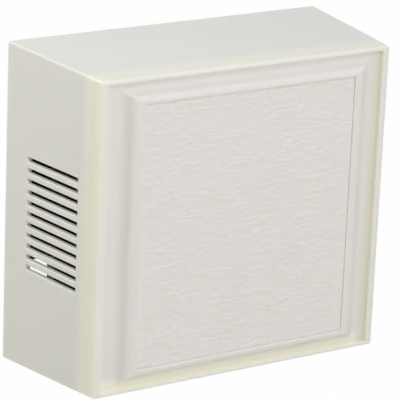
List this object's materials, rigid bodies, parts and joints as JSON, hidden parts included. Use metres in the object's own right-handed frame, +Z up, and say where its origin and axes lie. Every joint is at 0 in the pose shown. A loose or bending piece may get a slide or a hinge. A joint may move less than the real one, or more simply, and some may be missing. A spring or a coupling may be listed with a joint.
{
  "type": "doorbell chime box",
  "caption": "Wall-mounted doorbell chime: ivory vented cover with an embossed front panel, over tone bars struck by sprung solenoid plungers.",
  "frame": {"origin": "on the wall face of the base plate, midway between the two wall screws", "axes": "+Y into the wall, -Y out of the front, +Z up, +X to the right of someone facing the box"},
  "size_m": [0.153, 0.0675, 0.138],
  "materials": {
    "cover_ivory": "moulded ivory plastic with a soft satin skin",
    "panel_embossed": "matt off-white, embossed like coarse linen",
    "base_black": "moulded black plastic",
    "tone_bar_steel": "rolled steel, brushed along its length",
    "grommet_rubber": "dark brown rubber",
    "bright_steel": "zinc-plated steel",
    "frame_steel": "zinc-plated sheet steel",
    "bobbin_black": "moulded black nylon",
    "copper_wire": "enamelled copper wire",
    "core_steel": "turned steel",
    "striker_nylon": "natural nylon",
    "felt": "grey wool felt",
    "spring_steel": "drawn spring wire",
    "strip_brown": "brown moulded phenolic",
    "terminal_brass": "brass"
  },
  "bodies": {
    "base": {"base_plate": "base_black", "upper_tone_bar": "tone_bar_steel", "lower_tone_bar": "tone_bar_steel", "tone_bar_grommets": "grommet_rubber", "tone_bar_pins": "bright_steel", "front_solenoid_frame": "frame_steel", "rear_solenoid_frame": "frame_steel", "front_bobbin": "bobbin_black", "rear_bobbin": "bobbin_black", "front_coil_winding": "copper_wire", "rear_coil_winding": "copper_wire", "front_return_spring": "spring_steel", "rear_return_spring": "spring_steel", "terminal_strip": "strip_brown", "terminal_clamps": "terminal_brass", "terminal_screws": "terminal_brass", "frame_screws": "bright_steel", "front_coil_leads": "copper_wire", "rear_coil_leads": "copper_wire"},
    "cover": {"cover": "cover_ivory", "front_panel": "panel_embossed"},
    "front_plunger": {"front_plunger_core": "core_steel", "front_upper_tip": "striker_nylon", "front_lower_striker": "striker_nylon"},
    "rear_plunger": {"rear_plunger_core": "core_steel", "rear_upper_tip": "striker_nylon", "rear_lower_striker": "striker_nylon", "rear_felt_pad": "felt"}
  },
  "joints": [
    {"name": "cover_pull", "type": "slide", "parent": "base", "child": "cover", "axis": [0, -1, 0], "range_m": [0, 0.09]},
    {"name": "front_plunger_slide", "type": "slide", "parent": "base", "child": "front_plunger", "axis": [0, 0, 1], "range_m": [-0.0004, 0.01], "stiffness_N_per_m": 100, "springref_m": 0.00085, "deforming": ["front_return_spring"]},
    {"name": "rear_plunger_slide", "type": "slide", "parent": "base", "child": "rear_plunger", "axis": [0, 0, 1], "range_m": [-0.0004, 0.01], "stiffness_N_per_m": 100, "springref_m": 0.00085, "deforming": ["rear_return_spring"]}
  ]
}
